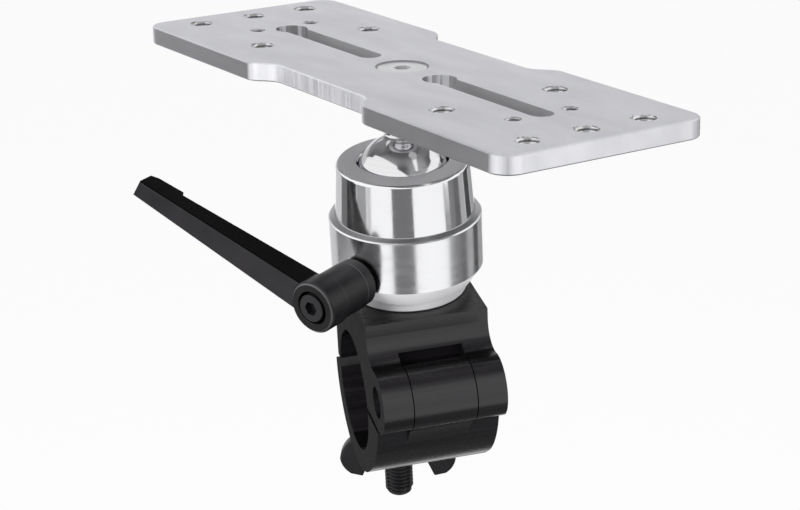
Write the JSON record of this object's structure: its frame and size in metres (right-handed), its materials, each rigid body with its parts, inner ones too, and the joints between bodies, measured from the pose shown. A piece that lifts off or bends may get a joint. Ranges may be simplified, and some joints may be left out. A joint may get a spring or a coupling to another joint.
{
  "type": "camera mounting plate",
  "caption": "Drilled and slotted aluminium plate on a polished ball head with a clamping lever, carried by a hinged tube clamp with a swing bolt and wing nut.",
  "frame": {"origin": "centre of the tube bore, midway along the clamp's width", "axes": "+X along the plate's length towards the end with the slots' narrow ends, +Z square to the plate's top face, away from the clamp"},
  "size_m": [0.25, 0.1273, 0.2001],
  "materials": {
    "plate_alloy": "satin, fine brushed",
    "screw_steel": "satin",
    "polished_steel": "mirror polished",
    "polished_alloy": "polished, turned",
    "cup_plastic": "matt, self-lubricating",
    "pad_brass": "machined",
    "black_steel": "black oxide, slight sheen",
    "spring_steel": "drawn wire",
    "lever_coat": "fine textured black powder coat",
    "clamp_black": "satin black"
  },
  "bodies": {
    "clamp": {"clamp_saddle": "clamp_black", "hinge_pin": "black_steel", "eye_pin": "black_steel", "head_base": "polished_alloy", "head_body": "polished_alloy", "socket_ring": "polished_alloy", "head_bolt": "black_steel", "brake_pad": "pad_brass"},
    "seat": {"seat_cup": "cup_plastic"},
    "ball": {"ball_stem": "polished_steel"},
    "plate": {"top_plate": "plate_alloy", "plate_screw": "screw_steel"},
    "stud": {"lever_stud": "black_steel", "lever_screw": "black_steel", "lever_spring": "spring_steel"},
    "lever": {"lever_arm": "lever_coat"},
    "jaw": {"clamp_jaw": "clamp_black"},
    "bolt": {"swing_bolt": "black_steel"},
    "washer": {"nut_washer": "black_steel"},
    "nut": {"wing_nut": "black_steel"}
  },
  "joints": [
    {"name": "head_pan", "type": "hinge", "parent": "clamp", "child": "seat", "pos_m": [0.00771, -0.00857, 0.08876], "axis": [0.0862, -0.0957, 0.9917], "continuous": true},
    {"name": "ball_tilt", "type": "hinge", "parent": "seat", "child": "ball", "pos_m": [0.00771, -0.00857, 0.08876], "axis": [-0.7431, -0.6691, 0], "range_deg": [-42, 27]},
    {"name": "plate_spin", "type": "hinge", "parent": "ball", "child": "plate", "pos_m": [0.00771, -0.00857, 0.13236], "axis": [0, 0, 1], "continuous": true},
    {"name": "lever_turn", "type": "hinge", "parent": "clamp", "child": "stud", "pos_m": [0.00493, -0.00547, 0.05672], "axis": [0.3056, -0.9449, -0.1178], "range_deg": [-72, 40]},
    {"name": "lever_lift", "type": "slide", "parent": "stud", "child": "lever", "axis": [0.3056, -0.9449, -0.1178], "range_m": [0, 0.004], "stiffness_N_per_m": 400, "springref_m": -0.004, "deforming": ["lever_spring"]},
    {"name": "bolt_swing", "type": "hinge", "parent": "clamp", "child": "bolt", "pos_m": [-0.03082, 0.01, 0.01776], "axis": [0.3397, 0.9385, 0.0611], "range_deg": [0, 110]},
    {"name": "nut_run", "type": "slide", "parent": "bolt", "child": "washer", "axis": [-0.0862, 0.0957, -0.9917], "range_m": [0, 0.021]},
    {"name": "nut_spin", "type": "hinge", "parent": "washer", "child": "nut", "pos_m": [-0.03548, 0.01517, -0.03579], "axis": [-0.0862, 0.0957, -0.9917], "range_deg": [0, 4324]},
    {"name": "jaw_open", "type": "hinge", "parent": "clamp", "child": "jaw", "pos_m": [0.04076, -0.01551, 0.0116], "axis": [-0.3397, -0.9385, -0.0611], "range_deg": [0, 15.2]}
  ],
  "couplings": [
    {"joint": "nut_spin", "follows": "nut_run", "rad_per_m": 3590.4},
    {"joint": "jaw_open", "follows": "nut_run", "rad_per_m": 12.467}
  ]
}
